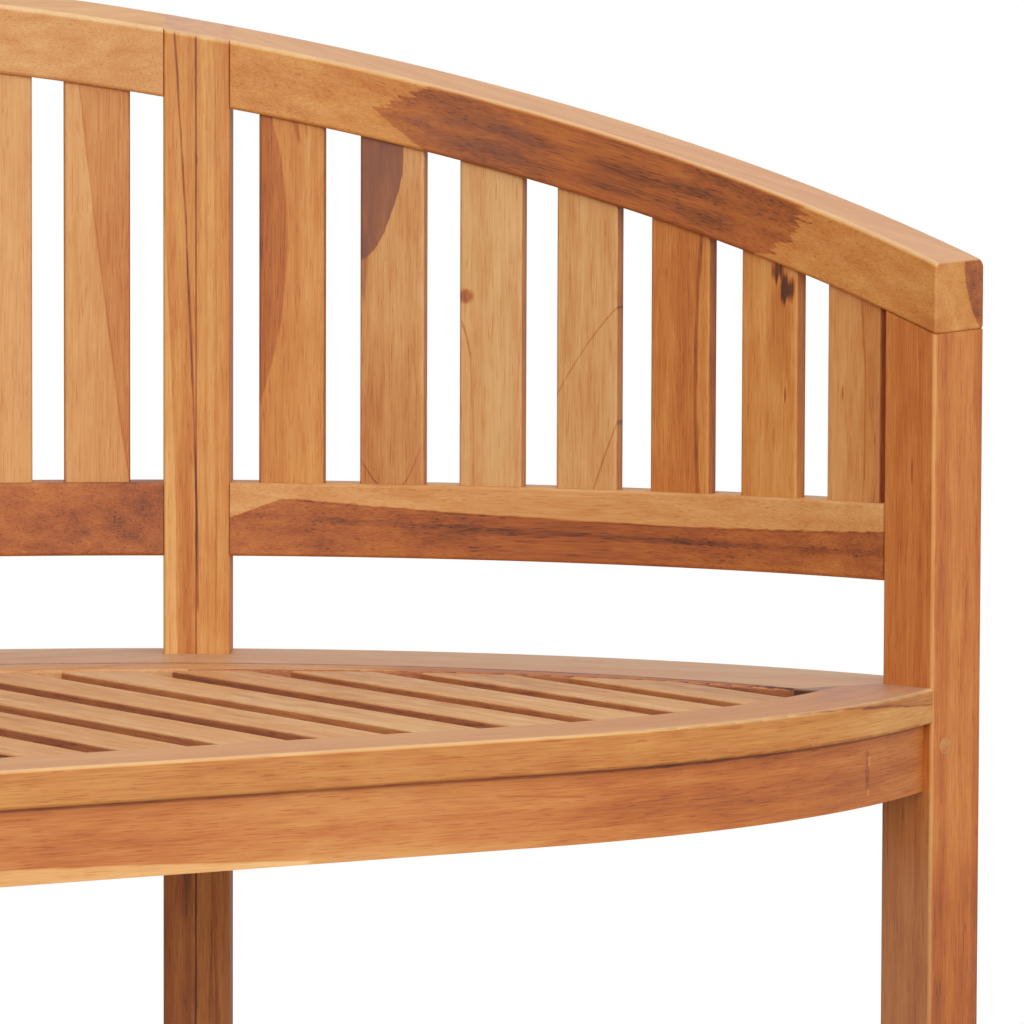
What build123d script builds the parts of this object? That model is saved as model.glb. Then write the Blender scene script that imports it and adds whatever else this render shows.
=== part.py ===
import math
import os

from build123d import *

os.makedirs("parts", exist_ok=True)

# Plan of the back: an arc seen from above, angles measured from straight back, lengths in mm
back_radius = 567.0
post_angle = 32.3
leg_angle = 79.4

# Sections of the frame members
upright_width = 40.0
upright_depth = 40.0
crown_height = 41.0
lower_rail_height = 44.0
lower_rail_depth = 30.0
lower_rail_gap = 59.0

# Crown plane: its height above the arc centre and its slope up toward the back
crown_plane_height = 664.0
crown_tilt_angle = 18.06

# Back slats
back_slat_width = 39.5
back_slat_thickness = 10.0
back_slat_setback = 4.0
back_slat_housing = 14.0
side_slat_count = 7
side_slat_first_angle = 38.0
side_slat_pitch_angle = 6.12
centre_slat_count = 10
centre_slat_pitch_angle = 5.85

# Seat
seat_height = 450.0
seat_thickness = 20.0
back_seat_rail_width = 140.0
front_seat_rail_width = 54.0
front_edge_y = -25.0
front_straight_half = 231.6
seat_opening_radius = 525.0
seat_corner_clearance = 20.0
seat_slat_width = 39.0
seat_slat_gap = 20.0
seat_slat_thickness = 18.0
seat_slat_drop = 1.5
seat_tongue_thickness = 8.0
seat_tongue_width = 27.0
seat_tongue_length = 12.0

# Aprons under the seat
apron_height = 39.0
apron_thickness = 22.0
front_apron_setback = 6.0
back_apron_setback = 16.0
apron_tenon_thickness = 12.0
apron_tenon_height = 26.0
apron_tenon_length = 20.0

# Pegs and dowels
peg_diameter = 10.0
peg_length = 36.0
peg_above_apron_middle = 6.0
peg_from_inner_face = 11.0
dowel_diameter = 10.0
dowel_length = 60.0

# Fits and eased edges
wood_clearance = 0.2
pin_clearance = 0.1
upright_ease = 2.0
rail_ease = 2.0
crown_outer_ease = 6.0
arm_end_ease = 1.5
slat_ease = 2.0

# Size of the bodies used for cutting, larger than the bench
reach = 1600.0

# Sizes that follow from the ones above
outer_radius = back_radius + upright_depth
arc_centre_y = -(front_edge_y + outer_radius) / 2
upright_middle = back_radius + upright_depth / 2
half_upright = upright_width / 2
crown_rise = math.tan(math.radians(crown_tilt_angle))
lower_rail_bottom = seat_height + lower_rail_gap
lower_rail_top = lower_rail_bottom + lower_rail_height
lower_rail_middle = back_radius + lower_rail_depth / 2
back_slat_middle = back_radius + back_slat_setback + back_slat_thickness / 2
seat_inner_y = outer_radius - back_seat_rail_width
seat_opening_centre_y = seat_inner_y - seat_opening_radius
seat_bottom = seat_height - seat_thickness
seat_slat_pitch = seat_slat_width + seat_slat_gap
front_inner_y = front_edge_y + front_seat_rail_width
seat_tilt = math.degrees(math.atan(seat_slat_drop / (seat_inner_y - front_inner_y)))
seat_tongue_top = (seat_thickness - seat_slat_drop - seat_tongue_thickness) / 2
apron_bottom = seat_bottom - apron_height
apron_middle_height = seat_bottom - apron_height / 2
peg_height = apron_middle_height + peg_above_apron_middle
back_apron_inner = back_radius + back_apron_setback
back_apron_middle = back_apron_inner + apron_thickness / 2


def plan_point(radius, angle, along=0.0):
    # Point at a radius and angle, shifted along the arc
    turn = math.radians(angle)
    x = radius * math.sin(turn) + along * math.cos(turn)
    y = radius * math.cos(turn) - along * math.sin(turn)
    return x, y


# The seat front sweeps back to meet the front inner corner of each leg
leg_corner_x, leg_corner_y = plan_point(back_radius, leg_angle, half_upright)
front_sweep_run = leg_corner_x - front_straight_half
front_sweep_rise = leg_corner_y - front_edge_y
front_sweep_radius = (front_sweep_run**2 + front_sweep_rise**2) / (2 * front_sweep_rise)


def radial_place(radius, angle, height, along=0.0):
    # Local Y points outward along the radius, local X along the arc
    x, y = plan_point(radius, angle, along)
    return Pos(x, y, height) * Rot(0, 0, -angle)


def prism(sketch, bottom, top):
    return extrude(Pos(0, 0, bottom) * sketch, amount=top - bottom, dir=(0, 0, 1))


def largest(shape):
    return shape.solids().sort_by(SortBy.VOLUME)[-1]


def below_crown(drop):
    # Everything below the crown plane lowered by the drop
    block = Pos(0, 0, -reach / 2) * Box(2 * reach, 2 * reach, reach)
    return Pos(0, 0, crown_plane_height - drop) * Rot(crown_tilt_angle, 0, 0) * block


def crown_height_at(radius, angle):
    return crown_plane_height + crown_rise * plan_point(radius, angle)[1]


def wedge(start, end):
    # Upright wedge between two radial cuts, each an angle and a shift along the arc
    near = back_radius / 2
    corners = [plan_point(near, *start), plan_point(reach, *start)]
    corners += [plan_point(reach, *end), plan_point(near, *end)]
    return prism(make_face(Polyline(*corners, close=True)), 0, reach)


def ring(inner, outer, bottom, top):
    return prism(Circle(outer) - Circle(inner), bottom, top)


def circle_edges(part, outside):
    # Closed edges of a ring, lowest first, inside or outside the middle of the uprights
    closed = part.edges().filter_by(lambda e: e.is_closed).sort_by(Axis.Z)
    return [e for e in closed if (e.bounding_box().size.X > 2 * upright_middle) == outside]


def distance_from_axis(edge):
    return math.hypot(edge.center().X, edge.center().Y)


def upright_block(angle, grow=0.0):
    size = Box(upright_width + 2 * grow, upright_depth + 2 * grow, reach)
    return radial_place(upright_middle, angle, reach / 2) * size


def rounded_upright(angle):
    plan = RectangleRounded(upright_width, upright_depth, upright_ease)
    return radial_place(upright_middle, angle, 0) * prism(plan, 0, reach)


def tangent_pin(diameter, length, radius, angle, height, along=0.0):
    # Round pin lying along the arc
    pin = Rot(0, 90, 0) * Cylinder(diameter / 2, length)
    return radial_place(radius, angle, height, along) * pin


def upright_pin(diameter, length, radius, angle, height):
    return radial_place(radius, angle, height) * Cylinder(diameter / 2, length)


def back_slat_body(angle, section, top_gap):
    # Upright bar from the lower rail's housing to the crown's housing
    bottom = lower_rail_top - back_slat_housing
    bar = radial_place(back_slat_middle, angle, 0) * prism(section, bottom, reach)
    return bar & below_crown(crown_height - back_slat_housing - top_gap)


def back_slat(angle):
    section = RectangleRounded(back_slat_width, back_slat_thickness, slat_ease)
    return largest(back_slat_body(angle, section, 0))


def back_slat_housings(angles):
    width = back_slat_width + 2 * wood_clearance
    thickness = back_slat_thickness + 2 * wood_clearance
    return [back_slat_body(a, Rectangle(width, thickness), wood_clearance) for a in angles]


def front_outline(offset):
    # Rounded plan of the seat front, moved back by the offset
    radius = front_sweep_radius - offset
    width = 2 * (front_straight_half + radius)
    length = 2 * radius + reach
    return Pos(0, front_edge_y + offset + length / 2) * RectangleRounded(width, length, radius)


def seat_opening(grow):
    back = Pos(0, seat_opening_centre_y) * Circle(seat_opening_radius + grow)
    return prism(back & front_outline(front_seat_rail_width - grow), 0, reach)


def seat_bar(x, width, thickness, depth):
    # Long bar in the sloping seat, its top the given depth below the seat surface
    bar = Box(width, 2 * reach, thickness)
    slope = Pos(x, front_inner_y, seat_height) * Rot(-seat_tilt, 0, 0)
    return slope * Pos(0, 0, -depth - thickness / 2) * bar


def seat_tongue(x, grow):
    width = seat_tongue_width + 2 * grow
    thickness = seat_tongue_thickness + 2 * grow
    bar = seat_bar(x, width, thickness, seat_tongue_top - grow)
    return bar & seat_opening(seat_tongue_length + grow)


def seat_slat(x):
    bar = seat_bar(x, seat_slat_width, seat_slat_thickness, 0)
    long_edges = bar.edges().sort_by(SortBy.LENGTH)[-4:]
    body = fillet(long_edges, slat_ease) & seat_opening(0)
    return largest(body + seat_tongue(x, 0))


def is_arc(edge, radius):
    return edge.geom_type == GeomType.CIRCLE and math.isclose(edge.radius, radius)


def on_seat_front(edge):
    straight = math.isclose(edge.center().Y, front_edge_y)
    return straight or is_arc(edge, front_sweep_radius)


def eased_back_rail(rail):
    # Outer edges above and below, and the inner edge above the slats
    rims = [e for e in rail.edges() if is_arc(e, outer_radius)]
    inner = [e for e in rail.edges() if is_arc(e, seat_opening_radius)]
    rims += [e for e in inner if math.isclose(e.center().Z, seat_height)]
    return fillet(rims, rail_ease)


def front_band(setback, thickness, limit, bottom, top):
    plan = front_outline(setback) - front_outline(setback + thickness)
    return prism(plan & Circle(limit), bottom, top)


def tenon_band(grow):
    # The thinner core of the front apron that runs into the legs
    thickness = apron_tenon_thickness + 2 * grow
    height = apron_tenon_height + 2 * grow
    setback = front_apron_setback + (apron_thickness - thickness) / 2
    limit = back_radius + apron_tenon_length + grow
    bottom = apron_middle_height - height / 2
    return front_band(setback, thickness, limit, bottom, bottom + height)


def pegs(grow):
    along = half_upright - peg_length / 2
    right = tangent_pin(
        peg_diameter + 2 * grow, peg_length, back_radius + peg_from_inner_face, leg_angle, peg_height, along
    )
    return [mirror(right, about=Plane.YZ), right]


def dowels(grow):
    # One dowel through each post and into each leg at every rail
    size = (dowel_diameter + 2 * grow, dowel_length)
    rails = [(lower_rail_middle, lower_rail_bottom + lower_rail_height / 2)]
    rails += [(back_apron_middle, apron_middle_height)]
    crown_middle = crown_height_at(upright_middle, post_angle) - crown_height / 2
    arm_joint = crown_height_at(upright_middle, leg_angle) - crown_height
    right = [tangent_pin(*size, upright_middle, post_angle, crown_middle)]
    right += [tangent_pin(*size, radius, post_angle, height) for radius, height in rails]
    right += [tangent_pin(*size, radius, leg_angle, height, -half_upright) for radius, height in rails]
    right += [upright_pin(*size, upright_middle, leg_angle, arm_joint)]
    return [mirror(d, about=Plane.YZ) for d in right] + right


def add_pair(name, right):
    nodes[name + "_right"] = right
    nodes[name + "_left"] = mirror(right, about=Plane.YZ)


nodes = {}

# Radial cuts that bound the panels
centre_start = (-post_angle, half_upright)
centre_end = (post_angle, -half_upright)
side_start = (post_angle, half_upright)
side_end = (leg_angle, -half_upright)
arm_end = (leg_angle, half_upright)
centre_wedge = wedge(centre_start, centre_end)
side_wedge = wedge(side_start, side_end)

side_angles = [side_slat_first_angle + i * side_slat_pitch_angle for i in range(side_slat_count)]
centre_first_angle = -centre_slat_pitch_angle * (centre_slat_count - 1) / 2
centre_angles = [centre_first_angle + i * centre_slat_pitch_angle for i in range(centre_slat_count)]
slat_room = seat_opening(0).bounding_box().max.X - seat_corner_clearance
seat_slat_count = 2 * math.floor((slat_room + seat_slat_gap / 2) / seat_slat_pitch)
seat_slat_places = [(i - (seat_slat_count - 1) / 2) * seat_slat_pitch for i in range(seat_slat_count)]
dowel_holes = dowels(pin_clearance)
peg_holes = pegs(pin_clearance)
side_housings = back_slat_housings(side_angles)
centre_housings = back_slat_housings(centre_angles)
tongue_slots = [seat_tongue(x, wood_clearance) for x in seat_slat_places]

# Posts and legs
post = upright_block(post_angle) & below_crown(0)
post_rim = post.faces().sort_by(Axis.Z)[-1].edges().sort_by(distance_from_axis)
post = fillet(post_rim[:1], rail_ease)
post_rim = post.edges().filter_by(lambda e: e.center().Z > seat_height)
post_back = post_rim.sort_by(lambda e: distance_from_axis(e) + e.center().Z)[-1:]
post = fillet(post_back, crown_outer_ease)
post = largest((post & rounded_upright(post_angle)) - dowel_holes)
leg = (rounded_upright(leg_angle) & below_crown(crown_height)) - tenon_band(wood_clearance)
leg = largest(leg - dowel_holes - peg_holes)
add_pair("back_post", post)
add_pair("front_leg", leg)

# Crown rails, cut from one eased ring
crown = ring(back_radius, outer_radius, 0, reach) & (below_crown(0) - below_crown(crown_height))
crown = fillet(circle_edges(crown, False), rail_ease)
crown = fillet(circle_edges(crown, True)[:1], rail_ease)
crown = fillet(circle_edges(crown, True)[-1:], crown_outer_ease)
arm = largest(crown & wedge(side_start, arm_end))
arm_end_face = arm.faces().filter_by(GeomType.PLANE).sort_by(Axis.Y)[0]
arm = fillet(arm_end_face.edges(), arm_end_ease)
nodes["crown_rail_centre"] = largest((crown & centre_wedge) - centre_housings - dowel_holes)
add_pair("crown_rail", largest(arm - side_housings - dowel_holes))

# Lower back rails
lower = ring(back_radius, back_radius + lower_rail_depth, lower_rail_bottom, lower_rail_top)
lower = fillet(lower.edges().filter_by(lambda e: e.is_closed), rail_ease)
nodes["lower_rail_centre"] = largest((lower & centre_wedge) - centre_housings - dowel_holes)
add_pair("lower_rail", largest((lower & side_wedge) - side_housings - dowel_holes))

# Back slats
for i, angle in enumerate(side_angles, 1):
    add_pair(f"side_slat_{i}", back_slat(angle))
for i, angle in enumerate(centre_angles, 1):
    nodes[f"centre_slat_{i}"] = back_slat(angle)

# Seat frame: one blank, opened in the middle, notched round the uprights and cut into rails
notches = upright_block(post_angle, wood_clearance) + upright_block(leg_angle, wood_clearance)
seat = prism(Circle(outer_radius) & front_outline(0), seat_bottom, seat_height) - seat_opening(0)
seat = seat - notches - mirror(notches, about=Plane.YZ)
rail_joint_y = plan_point(back_radius, leg_angle, -half_upright)[1]
front_half = Pos(0, rail_joint_y - reach, 0) * Box(2 * reach, 2 * reach, 2 * reach)
front_rail = largest(seat & front_half)
front_rail = fillet([e for e in front_rail.edges() if on_seat_front(e)], rail_ease)
nodes["front_seat_rail"] = largest(front_rail - tongue_slots)
seat_back = seat - front_half
centre_rail = largest(seat_back & wedge((-post_angle, 0), (post_angle, 0)))
side_rail = largest(seat_back & wedge((post_angle, 0), (leg_angle + post_angle, 0)))
nodes["back_seat_rail_centre"] = largest(eased_back_rail(centre_rail) - tongue_slots)
add_pair("back_seat_rail", largest(eased_back_rail(side_rail) - tongue_slots))

# Seat slats
for i, x in enumerate(seat_slat_places, 1):
    nodes[f"seat_slat_{i}"] = seat_slat(x)

# Aprons
legs = upright_block(leg_angle) + mirror(upright_block(leg_angle), about=Plane.YZ)
apron = front_band(front_apron_setback, apron_thickness, outer_radius, apron_bottom, seat_bottom)
apron = largest(apron - legs) + (tenon_band(0) & legs)
nodes["front_apron"] = largest(apron - peg_holes)
back_apron = ring(back_apron_inner, back_apron_inner + apron_thickness, apron_bottom, seat_bottom)
nodes["back_apron_centre"] = largest((back_apron & centre_wedge) - dowel_holes)
add_pair("back_apron", largest((back_apron & side_wedge) - dowel_holes))

# Pegs and dowels
nodes["leg_pegs"] = Compound(children=[largest(p) for p in pegs(0)])
nodes["rail_dowels"] = Compound(children=[largest(d) for d in dowels(0)])

for name, part in nodes.items():
    export_step(Pos(0, arc_centre_y, 0) * part, f"parts/{name}.step")
print(len(nodes), "nodes")
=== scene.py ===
import bpy
import math
import random
from mathutils import Matrix, Vector


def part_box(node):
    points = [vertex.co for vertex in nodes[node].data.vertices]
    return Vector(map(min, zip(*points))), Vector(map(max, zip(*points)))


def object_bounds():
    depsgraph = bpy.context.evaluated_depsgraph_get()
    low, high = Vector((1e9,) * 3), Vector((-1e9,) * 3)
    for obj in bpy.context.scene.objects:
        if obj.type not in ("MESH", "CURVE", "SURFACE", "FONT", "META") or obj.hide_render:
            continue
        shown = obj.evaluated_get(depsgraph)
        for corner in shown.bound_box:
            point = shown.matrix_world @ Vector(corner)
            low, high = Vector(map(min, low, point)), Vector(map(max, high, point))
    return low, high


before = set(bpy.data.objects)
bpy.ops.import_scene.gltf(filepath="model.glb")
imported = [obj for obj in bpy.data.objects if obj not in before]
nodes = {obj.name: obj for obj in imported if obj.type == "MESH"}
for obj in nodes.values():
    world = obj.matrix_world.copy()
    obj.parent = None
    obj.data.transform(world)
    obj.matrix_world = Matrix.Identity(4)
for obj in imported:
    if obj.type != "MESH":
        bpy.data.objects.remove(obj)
cadBox = [list(corner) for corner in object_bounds()]
print("bench loaded,", len(nodes), "pieces of timber")

scene = bpy.context.scene
scene.view_settings.view_transform = "Standard"

up = Vector((0, 0, 1))
arcCentre = Vector((0, -0.291, 0))  # the back's arc turns round this point
openingCentre = arcCentre - Vector((0, 0.058, 0))  # the seat opening's back edge round this one
crown = {"height": 0.664, "slope": math.tan(math.radians(18.06))}  # top plane: over the arc centre, rise
crownTop = {  # where the top, with its painted sheen, and the painted highlight on its front edge begin
    "under": (-0.0016, -0.0004),  # metres from the plane
    "edgeUnder": (-0.003, -0.0012),
    "edgeAt": (568.6, 570.4),  # millimetres from the arc centre
    # painted highlight on the front edge, then painted sheen on the top
    "edgeHighlight": 0.3,
    "paintedSheen": 0.45,
}


class Wire:  # a shader socket that takes part in sums
    def __init__(self, tree, socket=None):
        self.tree = tree
        self.socket = socket

    def node(self, kind, settings, sockets, out=0):
        made = self.tree.nodes.new(kind)
        for name, value in settings.items():
            if name == "stops":
                ramp = made.color_ramp
                while len(ramp.elements) < len(value):
                    ramp.elements.new(0.5)
                for element, (place, colour) in zip(ramp.elements, value):
                    element.position = place
                    element.color = (*colour, 1)
            else:
                setattr(made, name, value)
        for key, value in sockets.items():
            if isinstance(value, Wire):
                self.tree.links.new(value.socket, made.inputs[key])
            else:
                made.inputs[key].default_value = value
        return Wire(self.tree, made.outputs[out])

    def sum(self, operation, first, second):
        return self.node("ShaderNodeMath", {"operation": operation}, {0: first, 1: second})

    def __add__(self, other):
        return self.sum("ADD", self, other)

    def __radd__(self, other):
        return self.sum("ADD", other, self)

    def __sub__(self, other):
        return self.sum("SUBTRACT", self, other)

    def __rsub__(self, other):
        return self.sum("SUBTRACT", other, self)

    def __mul__(self, other):
        return self.sum("MULTIPLY", self, other)

    def __rmul__(self, other):
        return self.sum("MULTIPLY", other, self)

    def __truediv__(self, other):
        return self.sum("DIVIDE", self, other)

    def __rtruediv__(self, other):
        return self.sum("DIVIDE", other, self)

    def __pow__(self, other):
        return self.sum("POWER", self, other)

    def __abs__(self):
        return self.sum("ABSOLUTE", self, 0)

    def parts(self):  # the three numbers of a vector
        split = self.node("ShaderNodeSeparateXYZ", {}, {"Vector": self}).socket.node
        return [Wire(self.tree, output) for output in split.outputs]

    def fade(self, low, high):  # 0 below low, 1 above high
        span = {"From Min": low, "From Max": high, "To Min": 0, "To Max": 1}
        return self.node("ShaderNodeMapRange", {"interpolation_type": "SMOOTHSTEP"}, {"Value": self, **span})

    def grain(self, long, wide, detail, seed):  # noise in cells of that length and width, about 0
        cells = {"operation": "DIVIDE"}, {0: self, 1: (long, wide, wide)}
        look = {"Vector": self.node("ShaderNodeVectorMath", *cells), "W": seed, "Scale": 1, "Detail": detail}
        return self.node("ShaderNodeTexNoise", {"noise_dimensions": "4D"}, look) - 0.5

    def away(self, spot):  # distance in plan from a spot, in millimetres
        plan = self.node("ShaderNodeVectorMath", {"operation": "MULTIPLY"}, {0: self, 1: (1000, 1000, 0)})
        ends = {0: plan, 1: (spot.x * 1000, spot.y * 1000, 0)}
        return self.node("ShaderNodeVectorMath", {"operation": "DISTANCE"}, ends, "Value")

    def tint(self, colour, amount):  # this colour, turned into another by that amount
        return self.node("ShaderNodeMix", {"data_type": "RGBA"}, {0: amount, 6: self, 7: (*colour, 1)}, 2)


teakTones = [  # from pale sapwood to the darkest heartwood
    (0.0, (0.83, 0.53, 0.25)),
    (0.25, (0.70, 0.38, 0.142)),
    (0.45, (0.60, 0.262, 0.076)),
    (0.62, (0.50, 0.168, 0.04)),
    (0.78, (0.37, 0.105, 0.03)),
    (0.9, (0.22, 0.065, 0.026)),
    (1.0, (0.10, 0.034, 0.018)),
]
casts = {  # a board's own hue, and the last one a painted sheen that greys the tops
    "tan": (1, 1.12, 1.28),
    "gold": (1.03, 1.02, 0.86),
    "red": (1.05, 0.95, 0.82),
    "paintedSheen": (1.06, 1.22, 1.6),
}
duskTone = (0.215, 0.088, 0.058)  # purple brown of old heartwood
paintedSheenTone = (0.68, 0.44, 0.29)  # painted sheen: white light reflected off tops seen at a low angle
grainCells = {  # length and width in millimetres, detail, step of the seed
    "broad": (700, 60, 2, 0),
    "bands": (1100, 9, 3, 3),
    "mottle": (34, 8, 3, 7),
    "fibre": (26, 0.8, 2, 11),
    "pores": (11, 0.6, 0, 17),
    "jag": (34, 2.4, 2, 23),
}
grainDark = {"broad": 0.42, "bands": 0.42, "mottle": 0.32, "fibre": 0.36, "pores": 0.12}
poreRange = (0.12, 0.24)  # noise that opens into a pore
duskMottle = 0.9  # how patchy the purple brown is
sanding = {
    "rough": 0.5, "roughFibre": 0.2, "shine": 0.4,
    "fibre": 0.6, "pores": 0.5, "strength": 0.15, "deep": 0.0006,
}


def level(height):  # a straight line along the board
    return [(along, height) for along in (-300, 0, 300)]


def bow(points):  # bend, slope and start of the parabola through three points
    (p0, q0), (p1, q1), (p2, q2) = points
    bend = ((q2 - q0) / (p2 - p0) - (q1 - q0) / (p1 - p0)) / (p2 - p1)
    slope = (q1 - q0) / (p1 - p0) - bend * (p1 + p0)
    return bend, slope, q0 - slope * p0 - bend * p0 * p0


def cover(mark, axes, jag):  # 1 where a mark lies on the board, 0 elsewhere, in millimetres
    if "spot" in mark:
        farU = (axes["u"] - mark["spot"][0]) / mark["size"][0]
        farV = (axes["v"] - mark["spot"][1]) / mark["size"][1]
        return 1 - ((farU * farU + farV * farV) ** 0.5 + jag * mark.get("fray", 0.6)).fade(0.45, 1.1)
    p, q = [axes[letter] for letter in mark.get("on", "uv")]
    bend, slope, start = bow(mark["through"])
    away = q - ((p * bend + slope) * p + start) + jag * mark.get("fray", 2)
    if "width" in mark:
        shape = 1 - abs(away).fade(mark["width"] * 0.25, mark["width"])
    else:
        shape = (away * mark["side"]).fade(-mark.get("soft", 0.5), mark.get("soft", 0.5))
    if "span" in mark:
        low, high = mark["span"]
        ends = mark.get("ends", 3)
        shape = shape * p.fade(low - ends, low + ends) * (1 - p.fade(high - ends, high + ends))
    if "also" in mark:
        shape = shape * cover(mark["also"], axes, jag)
    return shape


def teak(name, centre, turn, look):
    mat = bpy.data.materials.new(name + "_teak")
    mat.use_nodes = True
    tree = mat.node_tree
    shader = tree.nodes["Principled BSDF"]
    start = Wire(tree)
    seed = random.Random(name).uniform(0, 40)
    place = start.node("ShaderNodeTexCoord", {}, {}, "Object")
    plank = {"Vector": place, "Location": centre, "Rotation": turn, "Scale": (0.001, 0.001, 0.001)}
    board = start.node("ShaderNodeMapping", {"vector_type": "TEXTURE"}, plank)  # millimetres on the board
    u, v, w = board.parts()
    if "sweep" in look:  # the grain follows the bowed front edge
        past = u.sum("MAXIMUM", abs(u) - look["sweep"]["straight"], 0)
        inward = w - look["sweep"]["edge"] + look["sweep"]["radius"]
        w = (past * past + inward * inward) ** 0.5
        board = board.node("ShaderNodeCombineXYZ", {}, {0: u, 1: v, 2: w})
    axes = {"u": u, "v": v, "w": w}
    if "rail" in name:
        axes["r"] = place.away(arcCentre)
        axes["h"] = place.away(openingCentre)

    grains = {
        key: board.grain(long, wide, detail, seed + step)
        for key, (long, wide, detail, step) in grainCells.items()
    }
    grains["pores"] = grains["pores"].fade(*poreRange)
    dark = look["tone"]
    for key, depth in {**grainDark, "bands": look.get("bands", grainDark["bands"])}.items():
        dark = dark + grains[key] * depth

    dusk = None
    paintedSheen = None
    hasTop = "crown" in name or "post" in name  # a top with painted sheen and a painted highlight on its front edge
    if hasTop:
        y, z = place.parts()[1:]
        crest = z - (y - arcCentre.y) * crown["slope"] - crown["height"]
        skyward = crest.fade(*crownTop["under"])
        # painted highlight along the front edge of the top, painted sheen over the top
        paintedRim = (1 - place.away(arcCentre).fade(*crownTop["edgeAt"])) * crest.fade(*crownTop["edgeUnder"])
        dark = dark - paintedRim * crownTop["edgeHighlight"] + skyward * look.get("topDark", 0)
        paintedSheen = skyward * look.get("top", crownTop["paintedSheen"])
    for mark in look.get("marks", ()):
        shape = cover(mark, axes, grains["jag"])
        if hasTop:
            shape = shape * (1 - skyward)
        dark = dark + shape * mark.get("dark", 0)
        if "dusk" in mark:
            dusk = shape * (grains["mottle"] * duskMottle + mark["dusk"]) + (dusk if dusk else 0)
        if "paintedSheen" in mark:
            paintedSheen = shape * mark["paintedSheen"]
    colour = dark.node("ShaderNodeValToRGB", {"stops": teakTones}, {"Fac": dark})
    if "cast" in look:
        hues = {0: colour, 1: casts[look["cast"]]}
        colour = colour.node("ShaderNodeVectorMath", {"operation": "MULTIPLY"}, hues)
    if dusk:
        colour = colour.tint(duskTone, dusk)
    # painted sheen, or painted reflected light, laid over the colour
    if paintedSheen:
        colour = colour.tint(paintedSheenTone, paintedSheen)
    rough = sanding["rough"] + grains["fibre"] * sanding["roughFibre"]
    relief = grains["fibre"] * sanding["fibre"] - grains["pores"] * sanding["pores"]
    bumps = {"Height": relief, "Strength": sanding["strength"], "Distance": sanding["deep"]}
    bump = relief.node("ShaderNodeBump", {}, bumps)
    tree.links.new(colour.socket, shader.inputs["Base Color"])
    tree.links.new(rough.socket, shader.inputs["Roughness"])
    tree.links.new(bump.socket, shader.inputs["Normal"])
    shader.inputs["Specular IOR Level"].default_value = sanding["shine"]
    return mat


def turnTo(along, across):  # board frame from its grain and its width
    along = along.normalized()
    deep = along.cross(across).normalized()
    return tuple(Matrix((along, deep.cross(along), deep)).transposed().to_euler())


def middle(name):
    low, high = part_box(name)
    return (low + high) / 2


def arcAngle(point):
    return math.atan2(point.x - arcCentre.x, point.y - arcCentre.y)


def dress(name, along, across, look):
    timber = nodes[name]
    mat = teak(name, tuple(middle(name)), turnTo(along, across), look)
    timber.data.materials.clear()
    timber.data.materials.append(mat)


anyBoard = {  # how often heartwood shows, where its edge may lie across the half width, and its veins
    "heartwood": 0.45,
    "edge": (0.1, 0.8),
    "edgeDark": (0.1, 0.2),
    "edgeSoft": 0.8,
    "mostVeins": 2,
    "slant": (-0.08, 0.08),
    "veinAt": (-0.7, 0.7),
    "veinStray": (-1, 1),
    "veinWidth": (0.7, 1.4),
    "veinDark": (0.08, 0.2),
}


def anyLook(name, pale, deep, half):  # a board of its own: tone, one edge of heartwood or a few veins
    dice = random.Random(name + "look")
    tone = dice.uniform(pale, deep)
    marks = []
    if dice.random() < anyBoard["heartwood"]:
        side = dice.choice((-1, 1))
        edge = [(u, side * dice.uniform(*anyBoard["edge"]) * half) for u in (-120, 0, 120)]
        edgeDark = dice.uniform(*anyBoard["edgeDark"])
        marks.append({"through": edge, "side": side, "dark": edgeDark, "soft": anyBoard["edgeSoft"]})
    for vein in range(dice.randint(0, anyBoard["mostVeins"])):
        slant = dice.uniform(*anyBoard["slant"])
        at = dice.uniform(*anyBoard["veinAt"]) * half
        line = [(u, at + slant * u + dice.uniform(*anyBoard["veinStray"])) for u in (-100, 0, 100)]
        width = dice.uniform(*anyBoard["veinWidth"])
        marks.append({"through": line, "width": width, "dark": dice.uniform(*anyBoard["veinDark"])})
    return {"tone": tone, "marks": marks}


def shadedWalls(half, dark):  # painted shade on both side walls of a board, making them darker than its face
    return [
        {"through": level(side * half), "side": side, "dark": dark, "soft": 0.3, "fray": 0}
        for side in (-1, 1)
    ]


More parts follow.
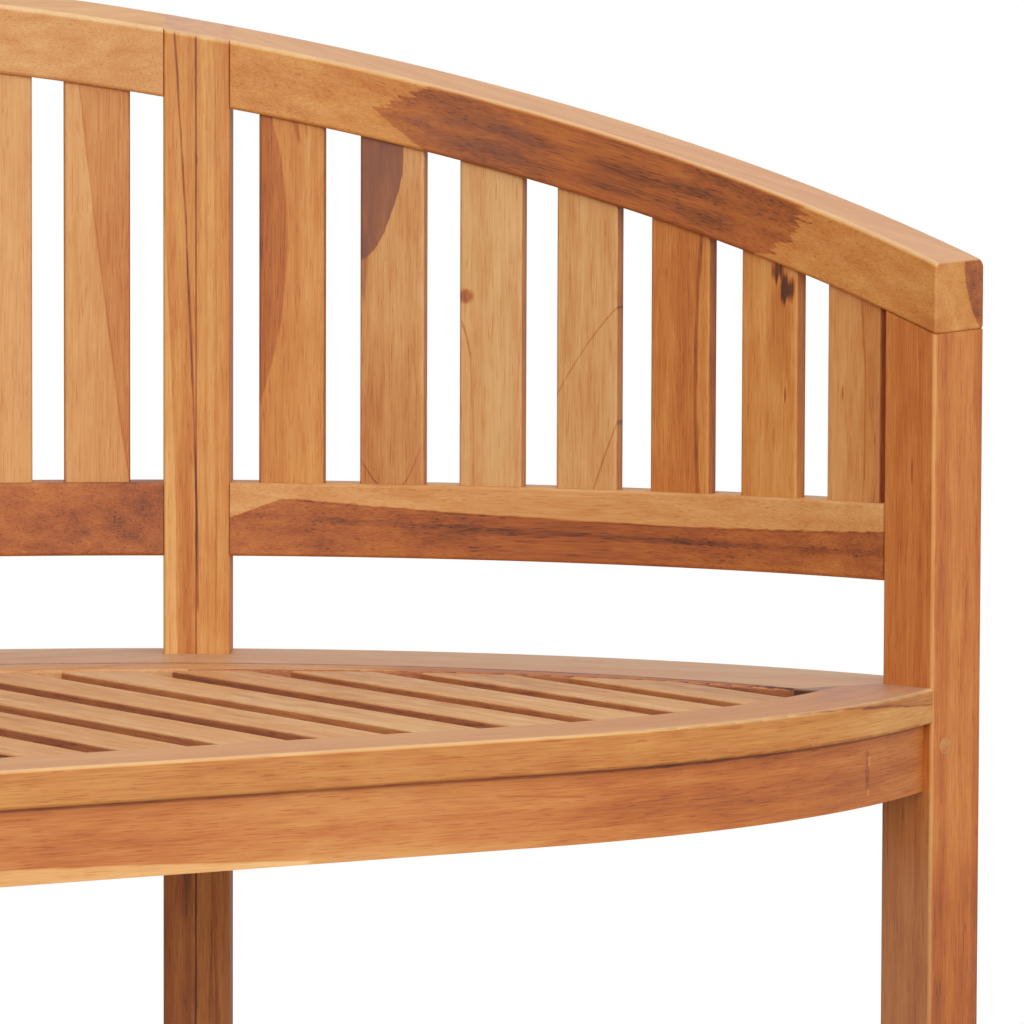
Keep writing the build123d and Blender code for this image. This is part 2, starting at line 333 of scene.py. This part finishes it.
# Back slats, posts and legs, grain straight up; marks in millimetres up and to the right of the middle
anyUpright = {"pale": 0.3, "deep": 0.58, "half": 19}
slatWallShade = shadedWalls(19.3, 0.26)
postWallShade = shadedWalls(19.5, 0.1)
legFront = {"through": level(18.5), "side": 1, "fray": 0}
uprightLooks = {
    "centre_slat_9": {"tone": 0.36},
    "centre_slat_10": {"tone": 0.35, "marks": [
        {"through": ((116, -10.7), (12, 1.4), (-120, 19)), "side": 1, "dark": 0.16},
        {"through": ((116, -10.7), (12, 1.4), (-120, 19)), "width": 0.9, "dark": 0.12},
    ]},
    "side_slat_1_right": {"tone": 0.48, "cast": "gold", "marks": [
        {"through": ((102, -10.5), (0, -4.5), (-55, -16)), "side": -1, "dark": 0.2, "soft": 0.7},
        {"through": ((104, 1.5), (98, 3.5), (90, 5)), "width": 2.2, "dark": 0.18, "span": (92, 120)},
        {"through": ((104, 8), (98, 9), (90, 10)), "width": 1.6, "dark": 0.12, "span": (95, 120)},
    ]},
    "side_slat_2_right": {"tone": 0.42, "cast": "tan", "marks": [
        {"through": ((-16, 30), (-3, 50), (6.5, 80)), "on": "vu", "side": 1, "dark": 0.25, "dusk": 0.75,
         "soft": 1, "fray": 6, "span": (-30, 6.5), "ends": 0.5},
        {"spot": (26, -18), "size": (26, 4), "dark": 0.1, "dusk": 0.4},
        {"through": ((-15.2, -96.5), (-9, -104.7), (-5, -108)), "on": "vu", "width": 1.1, "dark": 0.25,
         "span": (-18, -7)},
        {"through": ((16.7, -85), (13.5, -93.7), (5.5, -106.2)), "on": "vu", "width": 1.1, "dark": 0.25,
         "span": (5, 16)},
        {"spot": (-95, 0), "size": (90, 30), "dark": 0.12},
    ]},
    "side_slat_3_right": {"tone": 0.37, "cast": "tan", "marks": [
        {"spot": (15, -16), "size": (5, 6), "dark": 0.4},
        {"through": ((-4.7, -16.6), (-16.7, -13.3), (-34, -11)), "width": 1.1, "dark": 0.25,
         "span": (-20, 0)},
        {"through": ((-20, -12.5), (-60, -10.8), (-110, -11)), "width": 1, "dark": 0.1,
         "span": (-105, -18)},
        {"through": ((60, 0), (30, -2), (5, -5)), "width": 4, "dark": 0.09, "span": (12, 50), "ends": 8},
    ]},
    "side_slat_4_right": {"tone": 0.36, "cast": "tan", "marks": [
        {"through": ((21, 19), (3, -1), (-16.4, -30)), "on": "vu", "width": 1.1, "dark": 0.22, "fray": 1},
        {"through": ((-49.5, 20), (-70, 12), (-91, 4.5)), "width": 0.9, "dark": 0.22, "span": (-110, -45),
         "fray": 1},
    ]},
    "side_slat_5_right": {"tone": 0.6, "cast": "gold", "marks": [
        {"through": ((49, 12.6), (0, 10.8), (-68, 12)), "width": 1.8, "dark": 0.2, "fray": 3},
        {"through": ((49, 13.5), (0, 11.8), (-68, 13)), "side": 1, "dark": -0.08},
    ]},
    "side_slat_6_right": {"tone": 0.42, "cast": "gold", "marks": [
        {"spot": (59, 5.5), "size": (7, 4.5), "dark": 0.5, "fray": 2.2},
        {"spot": (48, 12.5), "size": (9, 5), "dark": 0.55, "fray": 2.2},
        {"spot": (24, 8), "size": (40, 10), "dark": 0.16},
        {"spot": (-13, 11.5), "size": (6, 1), "dark": 0.4},
    ]},
    "side_slat_7_right": {"tone": 0.46, "marks": [
        {"spot": (-1, -8), "size": (5, 1), "dark": 0.3},
        {"through": ((40, 7), (-20, 9), (-60, 8)), "width": 1, "dark": 0.14, "fray": 4},
    ]},
    "back_post_right": {"tone": 0.46, "cast": "gold", "bands": 0.65, "top": 0.55, "topDark": 0.16, "marks": [
        {"through": ((406, -13.3), (284, -6.1), (116, 0)), "width": 1, "dark": 0.36, "span": (60, 500)},
        {"through": ((420, -0.5), (0, -0.3), (-420, -1)), "width": 0.9, "dark": 0.4, "fray": 0.4},
        {"through": ((317, -20.5), (66, -12), (-115, -13.5)), "side": -1, "dark": -0.25, "span": (14, 330)},
        {"spot": (40, -6), "size": (230, 6), "dark": 0.1},
        {"through": ((400, 7), (200, 6), (0, 8)), "width": 1.2, "dark": 0.1, "fray": 4},
        {"through": ((400, 11), (200, 12), (0, 11)), "width": 1, "dark": 0.08, "fray": 4},
        # painted shade on the post below the seat
        {"through": level(-30), "side": 1, "dark": 0.2, "span": (-900, 14)},
    ]},
    "front_leg_right": {"tone": 0.57, "cast": "red", "marks": [
        {"through": ((-300, 12), (0, 12.5), (300, 11)), "on": "uw", "side": 1, "dark": 0.1, "fray": 6,
         "soft": 1.5, "also": legFront},
        # painted highlight along the leg's front corner
        {"through": level(18.7), "width": 1.7, "dark": -0.34, "fray": 0},
        {"spot": (240, 2.4), "size": (9, 1.2), "dark": 0.25},
        # painted shade on the lower leg and over its front face, more under the seat; painted reflected light
        # from the floor on the lower inner face
        {"spot": (-260, 0), "size": (300, 60), "dark": 0.04},
        {**legFront, "dark": 0.05},
        {**legFront, "dark": 0.13, "span": (-900, 20), "ends": 40},
        {"through": level(-19.5), "on": "uw", "side": -1, "paintedSheen": 0.16, "fray": 0, "span": (-900, 20),
         "ends": 30},
    ]},
}
for name in nodes:
    if name.startswith(("side_slat", "centre_slat", "back_post", "front_leg")):
        angle = arcAngle(middle(name))
        across = Vector((math.cos(angle), -math.sin(angle), 0))
        look = uprightLooks.get(name) or anyLook(name, **anyUpright)
        # slats and posts: painted shade on both side walls
        if "leg" not in name:
            look["marks"] = [*look.get("marks", ()), *(slatWallShade if "slat" in name else postWallShade)]
        dress(name, up, across, look)
print("uprights dressed")

# Curved rails, each sawn from a straight plank that follows its chord
openingRadius = 525  # millimetres
seatTop = {"through": level(9.2), "side": 1, "fray": 0}
seatJoint = {"through": level(509), "on": "ur", "fray": 4, "also": seatTop}
seatRing = [  # uneven line of painted shade at the joint along the back of the seat, and the strips on both sides of it, the outer one with painted sheen
    {**seatJoint, "side": -1, "dark": 0.04},
    {**seatJoint, "side": 1, "paintedSheen": 0.35},
    {**seatJoint, "width": 3.6, "dark": 0.46, "fray": 9},
]
# painted shade on the wall of the seat opening, seen down the slots
ringWallShade = {"through": level(openingRadius + 0.8), "on": "uh", "side": -1, "fray": 0}
railEnd = ((394, 10), (480, 7.5), (563, 0))  # edge of the dark wood on the front rail's right end
apronSap = ((-84, -11.2), (14, -14), (80, -17))  # edge of the pale wood along the front apron
railLooks = {
    "crown_rail_right": {"tone": 0.48, "cast": "gold", "marks": [
        {"through": ((22, -117), (10, -131), (-1.3, -144)), "on": "vu", "side": 1, "dark": 0.27, "fray": 30,
         "soft": 1.5, "also":
            {"through": ((-17, -109), (-9, -127), (-1.3, -144)), "on": "vu", "side": 1, "fray": 12,
             "soft": 1.5}},
        {"through": ((22, 136), (2, 131), (-17, 112)), "on": "vu", "side": 1, "dark": -0.27, "fray": 40,
         "soft": 2},
        {"spot": (-85, 0), "size": (60, 24), "dark": 0.04, "dusk": 0.25},
        {"through": ((18, 5.3), (0, 2.3), (-20, -8.7)), "on": "vw", "side": -1, "dark": 0.3, "soft": 0.8,
         "also": {"through": level(236), "on": "vu", "side": 1, "fray": 0}},
        {"through": ((-20, 2), (60, 6), (130, 8)), "width": 5, "dark": 0.07, "span": (-10, 125), "ends": 12},
    ]},
    "crown_rail_centre": {"tone": 0.33, "top": 0.2},
    "crown_rail_left": {"tone": 0.42},
    "lower_rail_right": {"tone": 0.33, "marks": [
        {"through": ((-150, 11), (20, 3), (200, 5.3)), "side": -1, "dark": 0.4, "soft": 0.7, "fray": 3,
         "also": {"through": ((-206, 1), (-194, 5.8), (-182, 10.6)), "side": -1, "fray": 1}},
        {"through": ((-150, 10.5), (20, 2.5), (200, 4.8)), "width": 1.2, "dark": 0.08, "span": (-190, 900)},
        {"through": ((-100, -2), (40, -6), (200, -7)), "width": 3, "dark": 0.1, "fray": 5},
    ]},
    "lower_rail_centre": {"tone": 0.75, "bands": 0.5},
    "lower_rail_left": {"tone": 0.58},
    "back_seat_rail_right": {"tone": 0.42, "cast": "paintedSheen", "marks": [
        *seatRing,
        {**seatJoint, "side": -1, "dark": 0.26, "span": (-60, 500), "ends": 50},
        {**ringWallShade, "dark": 0.36},
    ]},
    "back_seat_rail_centre": {"tone": 0.42, "cast": "paintedSheen", "marks": seatRing},
    "back_seat_rail_left": {"tone": 0.42, "cast": "paintedSheen", "marks": seatRing},
    "back_apron_right": {"tone": 0.55},
    "back_apron_centre": {"tone": 0.55},
    "back_apron_left": {"tone": 0.5},
    "front_seat_rail": {"tone": 0.47, "cast": "gold", "marks": [
        {"through": railEnd, "side": 1, "dark": 0.1, "dusk": 0.12, "fray": 4, "also":
            {"through": ((410, 550), (455, 522), (505, 490)), "on": "uw", "side": 1, "fray": 16, "soft": 14}},
        {"through": railEnd, "width": 0.9, "dark": 0.3, "fray": 4, "span": (385, 700), "also":
            {"through": level(548.4), "on": "uw", "side": 1, "fray": 0}},
        # painted sheen on the top, and a painted highlight along its front edge
        {**seatTop, "paintedSheen": 0.4, "soft": 0.4},
        {"through": level(547.4), "on": "uw", "side": 1, "dark": -0.3, "fray": 0, "also":
            {"through": level(8.4), "side": 1, "fray": 0}},
        {"spot": (410, 0), "size": (190, 60), "dark": 0.06},
        {"spot": (535, -4), "size": (80, 14), "dark": -0.12},
        # painted shade on the back of the rail, seen down the slots
        {"through": level(496.4), "on": "uw", "side": -1, "dark": 0.4, "fray": 0},
        {"through": level(openingRadius + 0.2), "on": "uh", "width": 1.2, "dark": 0.4, "fray": 0,
         "span": (478, 506)},
    ]},
    "front_apron": {"tone": 0.56, "cast": "red", "marks": [
        # painted shade under the front rail's overhang
        {"through": level(17.6), "side": 1, "dark": 0.2, "fray": 0},
        {"spot": (360, 0), "size": (220, 60), "dark": 0.08},
        {"spot": (150, 0), "size": (150, 40), "dark": -0.09},
        {"through": apronSap, "side": -1, "dark": -0.3, "span": (-900, 92), "fray": 2},
        {"through": apronSap, "width": 1, "dark": 0.12, "span": (-900, 88), "fray": 2},
        {"spot": (488, 0), "size": (3, 15), "dark": 0.14, "fray": 1.2},
        {"spot": (490, 5), "size": (1.6, 4), "dark": -0.2, "fray": 1.2},
        {"spot": (489, -12), "size": (1.6, 3), "dark": -0.2, "fray": 1.2},
        {"through": ((150, 14), (222, 8), (300, 4)), "width": 1, "dark": 0.12, "span": (205, 260)},
    ]},
}
frontCurve = {"straight": 231.6, "radius": 549.8}  # millimetres: straight half length, then the sweep
for name, look in railLooks.items():
    angle = arcAngle(middle(name))
    if "front" in name:
        angle = 0
        look["sweep"] = {**frontCurve, "edge": (middle(name).y - cadBox[0][1]) * 1000}
    rise = -crown["slope"] * math.sin(angle) if "crown" in name else 0
    dress(name, Vector((math.cos(angle), -math.sin(angle), rise)), up, look)
print("rails dressed")

# Seat slats, grain from front to back, with a faint stain each, painted shade on the walls and painted sheen
# over the tops
anySeatSlat = {"pale": 0.34, "deep": 0.44, "half": 19}
stainLook = {"along": 90, "across": 9, "size": (110, 22), "dusk": 0.24}
seatWallShade = shadedWalls(19.1, 0.36)
backward = Vector((0, 1, 0))
for name in nodes:
    if name.startswith("seat_slat"):
        look = anyLook(name, **anySeatSlat)
        dice = random.Random(name + "stain")
        along, across = stainLook["along"], stainLook["across"]
        spot = (dice.uniform(-along, along), dice.uniform(-across, across))
        stain = {"spot": spot, "size": stainLook["size"], "dusk": dice.uniform(0, stainLook["dusk"])}
        veins = [mark for mark in look["marks"] if "width" in mark]
        look["marks"] = [*veins, stain, *seatWallShade]
        dress(name, backward, Vector((1, 0, 0)), {**look, "cast": "paintedSheen"})
pinLook = {"tone": 0.58, "cast": "tan"}
for name in ("leg_pegs", "rail_dowels"):
    dress(name, backward, up, pinLook)
print("seat and pins dressed")

# Camera at the photograph's place
shot = {
    "spot": (-1.47638, -3.0117, 0.78808),
    "yaw": 0.55909, "dip": 0.06883, "roll": 0.00356,  # radians
    "focus": 6121, "across": 1024,  # pixels
    "sensor": 36,  # millimetres
}
yaw, dip, roll = shot["yaw"], shot["dip"], shot["roll"]
ahead = Vector((math.sin(yaw) * math.cos(dip), math.cos(yaw) * math.cos(dip), -math.sin(dip)))
right = Vector((math.cos(yaw), -math.sin(yaw), 0))
upward = right.cross(ahead)
rightTilted = right * math.cos(roll) + upward * math.sin(roll)
upTilted = upward * math.cos(roll) - right * math.sin(roll)
lens = bpy.data.cameras.new("photoLens")
lens.sensor_width = shot["sensor"]
lens.lens = shot["focus"] * shot["sensor"] / shot["across"]
lens.clip_start = 0.05
lens.clip_end = 60
camera = bpy.data.objects.new("photoCamera", lens)
scene.collection.objects.link(camera)
aim = Matrix((rightTilted, upTilted, -ahead)).transposed().to_4x4()
camera.matrix_world = Matrix.Translation(shot["spot"]) @ aim
scene.camera = camera


def straightRays(tree):  # 1 for rays that come straight from the lens
    rays = Wire(tree).node("ShaderNodeLightPath", {}, {}).socket.node
    return Wire(tree, rays.outputs["Is Camera Ray"]) + Wire(tree, rays.outputs["Is Transmission Ray"])


# White studio: bright from above, dimmer from below, plain white to the lens
studio = {
    "above": 0.78, "below": 0.38, "horizon": (-0.25, 0.35),
    "floor": 0.9, "floorBounce": 0.46, "floorRadius": 1.6, "floorSides": 128, "floorHeight": -0.0005,
    "shadow": (0.85, 1.5),
    "lampAim": (0, 0, 0.5),
}
world = bpy.data.worlds.new("studioWhite")
world.use_nodes = True
scene.world = world
sky = Wire(world.node_tree)
height = sky.node("ShaderNodeTexCoord", {}, {}, "Generated").parts()[2]
glow = height.fade(*studio["horizon"]) * (studio["above"] - studio["below"]) + studio["below"]
white = straightRays(world.node_tree)
strength = white * (1 - glow) + glow
background = world.node_tree.nodes["Background"]
background.inputs["Color"].default_value = (1, 1, 1, 1)
world.node_tree.links.new(strength.socket, background.inputs["Strength"])

# Pale floor that keeps the shadow near the bench and fades to the backdrop
bpy.ops.object.select_all(action="DESELECT")
disc = {"vertices": studio["floorSides"], "radius": studio["floorRadius"], "fill_type": "NGON"}
bpy.ops.mesh.primitive_circle_add(**disc, location=(0, 0, studio["floorHeight"]))
floor = bpy.context.object
floor.name = "studioFloor"
paving = bpy.data.materials.new("paleFloor")
paving.use_nodes = True
tree = paving.node_tree
tree.nodes.clear()
ground = Wire(tree)
where = ground.node("ShaderNodeTexCoord", {}, {}, "Object")
reach = ground.node("ShaderNodeVectorMath", {"operation": "LENGTH"}, {0: where}, "Value")
white = straightRays(tree)
tone = white * (studio["floor"] - studio["floorBounce"]) + studio["floorBounce"]
matte = ground.node("ShaderNodeBsdfDiffuse", {}, {"Color": tone})
plain = ground.node("ShaderNodeEmission", {}, {"Color": (1, 1, 1, 1), "Strength": 1})
far = white * reach.fade(*studio["shadow"])
mixed = ground.node("ShaderNodeMixShader", {}, {0: far, 1: matte, 2: plain})
out = tree.nodes.new("ShaderNodeOutputMaterial")
tree.links.new(mixed.socket, out.inputs["Surface"])
floor.data.materials.append(paving)

# Soft lamps
lamps = {
    "keyLamp": {"at": (-2.2, -3.8, 2.2), "size": 2.4, "power": 70},
    "fillLamp": {"at": (1.2, -4.2, 1.4), "size": 2.4, "power": 45},
    "topLamp": {"at": (0.6, 0.2, 3.6), "size": 2.6, "power": 12},
}
for name, lamp in lamps.items():
    data = bpy.data.lights.new(name, "AREA")
    data.shape = "DISK"
    data.size = lamp["size"]
    data.energy = lamp["power"]
    holder = bpy.data.objects.new(name, data)
    scene.collection.objects.link(holder)
    holder.location = lamp["at"]
    toBench = Vector(studio["lampAim"]) - Vector(lamp["at"])
    holder.rotation_euler = toBench.to_track_quat("-Z", "Y").to_euler()
    holder.visible_camera = False
print("studio ready")
